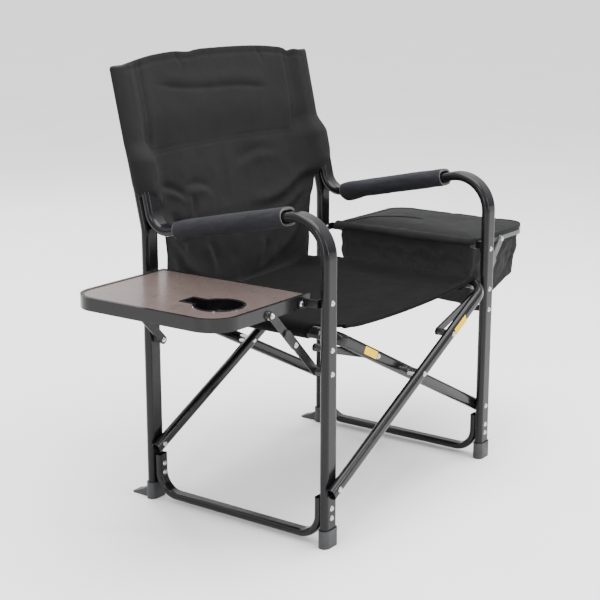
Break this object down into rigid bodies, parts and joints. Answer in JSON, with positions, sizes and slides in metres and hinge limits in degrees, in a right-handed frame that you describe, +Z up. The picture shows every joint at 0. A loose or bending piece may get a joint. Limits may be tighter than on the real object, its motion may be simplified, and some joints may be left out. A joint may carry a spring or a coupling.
{
  "type": "folding camp chair",
  "caption": "Folding camp chair with scissor frame, sling seat and back, padded arms, a fold-down side table with cup holder and a soft side cooler.",
  "frame": {"origin": "on the floor, under the middle of the unfolded chair's bounding box", "axes": "+X from the side table to the cooler, -Y the way the sitter faces, +Z up"},
  "size_m": [1.119, 0.5346, 0.8821],
  "materials": {
    "frame_paint": "dark charcoal-grey powder coat, slight metallic gloss",
    "bar_paint": "silver-grey powder coat",
    "link_paint": "dark satin paint",
    "strut_paint": "grey satin paint",
    "bracket_paint": "black satin paint",
    "cooler_frame_paint": "light grey satin paint",
    "rivet_steel": "bright zinc-plated rivets",
    "spacer_plastic": "black moulded spacers",
    "foot_plastic": "dark grey moulded feet",
    "cup_plastic": "glossy black moulded insert",
    "seat_fabric": "black woven polyester",
    "back_fabric": "black woven polyester",
    "pad_fabric": "black fabric over foam",
    "cooler_fabric": "black coated polyester",
    "lid_fabric": "black padded polyester",
    "table_laminate": "brown speckled laminate",
    "rim_paint": "dark grey paint",
    "label_vinyl": "plain yellow sticker"
  },
  "bodies": {
    "left_frame": {"left_arm_tube": "frame_paint", "left_rear_post": "frame_paint", "left_floor_bar": "bar_paint", "left_front_foot": "foot_plastic", "left_rear_foot": "foot_plastic", "left_arm_pad": "pad_fabric", "left_leg_rivets": "rivet_steel", "left_link_spacers": "spacer_plastic", "left_post_cap": "foot_plastic", "table_brackets": "bracket_paint", "backrest": "back_fabric"},
    "right_frame": {"right_arm_tube": "frame_paint", "right_rear_post": "frame_paint", "right_floor_bar": "bar_paint", "right_front_foot": "foot_plastic", "right_rear_foot": "foot_plastic", "right_arm_pad": "pad_fabric", "right_leg_rivets": "rivet_steel", "right_post_cap": "foot_plastic", "cooler_brackets": "bracket_paint"},
    "left_cross": {"left_cross_tube": "frame_paint", "crossing_rivets": "rivet_steel", "link_spacers": "spacer_plastic", "left_link_pins": "rivet_steel", "left_label": "label_vinyl"},
    "right_cross": {"right_cross_tube": "frame_paint", "right_link_pins": "rivet_steel", "right_label": "label_vinyl"},
    "left_links": {"left_links": "link_paint"},
    "right_links": {"right_links": "link_paint"},
    "seat": {"seat_sling": "seat_fabric"},
    "table": {"table_rim": "rim_paint", "table_panel": "table_laminate", "cup_holder": "cup_plastic", "table_rivets": "rivet_steel"},
    "table_lower_struts": {"table_lower_struts": "strut_paint", "table_strut_rivets": "rivet_steel"},
    "table_upper_struts": {"table_upper_struts": "strut_paint"},
    "cooler": {"cooler_rim": "cooler_frame_paint", "cooler_bag": "cooler_fabric", "cooler_rivets": "rivet_steel"},
    "cooler_lid": {"cooler_lid": "lid_fabric"},
    "cooler_lower_struts": {"cooler_lower_struts": "cooler_frame_paint", "cooler_strut_rivets": "rivet_steel"},
    "cooler_upper_struts": {"cooler_upper_struts": "cooler_frame_paint"}
  },
  "joints": [
    {"name": "fold", "type": "hinge", "parent": "left_frame", "child": "left_cross", "pos_m": [-0.295, 0, 0.118], "axis": [0, -1, 0], "range_deg": [0, 51], "deforming": ["seat_sling", "backrest"]},
    {"name": "scissor", "type": "hinge", "parent": "left_cross", "child": "right_cross", "pos_m": [0, 0, 0.26605], "axis": [0, -1, 0], "range_deg": [-112.01, 0]},
    {"name": "right_fold", "type": "hinge", "parent": "right_cross", "child": "right_frame", "pos_m": [0.295, 0, 0.118], "axis": [0, -1, 0], "range_deg": [0, 51]},
    {"name": "left_link_turn", "type": "hinge", "parent": "left_frame", "child": "left_links", "pos_m": [-0.295, 0, 0.379], "axis": [0, -1, 0], "range_deg": [0, 87.95]},
    {"name": "right_link_turn", "type": "hinge", "parent": "right_frame", "child": "right_links", "pos_m": [0.295, 0, 0.379], "axis": [0, -1, 0], "range_deg": [-87.95, 0]},
    {"name": "seat_level", "type": "hinge", "parent": "left_cross", "child": "seat", "pos_m": [0.259, 0, 0.39603], "axis": [0, -1, 0], "range_deg": [-56.01, 0]},
    {"name": "table_fold", "type": "hinge", "parent": "left_frame", "child": "table", "pos_m": [-0.33, 0, 0.466], "axis": [0, -1, 0], "range_deg": [0, 90]},
    {"name": "table_lower_strut_turn", "type": "hinge", "parent": "left_frame", "child": "table_lower_struts", "pos_m": [-0.295, 0, 0.334], "axis": [0, -1, 0], "range_deg": [0, 71.51]},
    {"name": "table_upper_strut_turn", "type": "hinge", "parent": "table", "child": "table_upper_struts", "pos_m": [-0.421, 0, 0.463], "axis": [0, -1, 0], "range_deg": [-165.09, 0]},
    {"name": "cooler_fold", "type": "hinge", "parent": "right_frame", "child": "cooler", "pos_m": [0.33, 0, 0.466], "axis": [0, 1, 0], "range_deg": [0, 90], "deforming": ["cooler_bag"]},
    {"name": "cooler_lower_strut_turn", "type": "hinge", "parent": "right_frame", "child": "cooler_lower_struts", "pos_m": [0.295, 0, 0.334], "axis": [0, 1, 0], "range_deg": [0, 71.51]},
    {"name": "cooler_upper_strut_turn", "type": "hinge", "parent": "cooler", "child": "cooler_upper_struts", "pos_m": [0.421, 0, 0.463], "axis": [0, 1, 0], "range_deg": [-165.09, 0]},
    {"name": "lid_open", "type": "hinge", "parent": "cooler", "child": "cooler_lid", "pos_m": [0.302, 0, 0.475], "axis": [0, -1, 0], "range_deg": [0, 55]}
  ],
  "couplings": [
    {"joint": "scissor", "follows": "fold", "ratio": -2.1961},
    {"joint": "right_fold", "follows": "fold", "ratio": 1},
    {"joint": "left_link_turn", "follows": "fold", "ratio": 1.7243},
    {"joint": "right_link_turn", "follows": "fold", "ratio": -1.7243},
    {"joint": "seat_level", "follows": "fold", "ratio": -1.098},
    {"joint": "table_lower_strut_turn", "follows": "table_fold", "ratio": 0.7945},
    {"joint": "table_upper_strut_turn", "follows": "table_fold", "ratio": -1.8342},
    {"joint": "cooler_lower_strut_turn", "follows": "cooler_fold", "ratio": 0.7945},
    {"joint": "cooler_upper_strut_turn", "follows": "cooler_fold", "ratio": -1.8342}
  ]
}
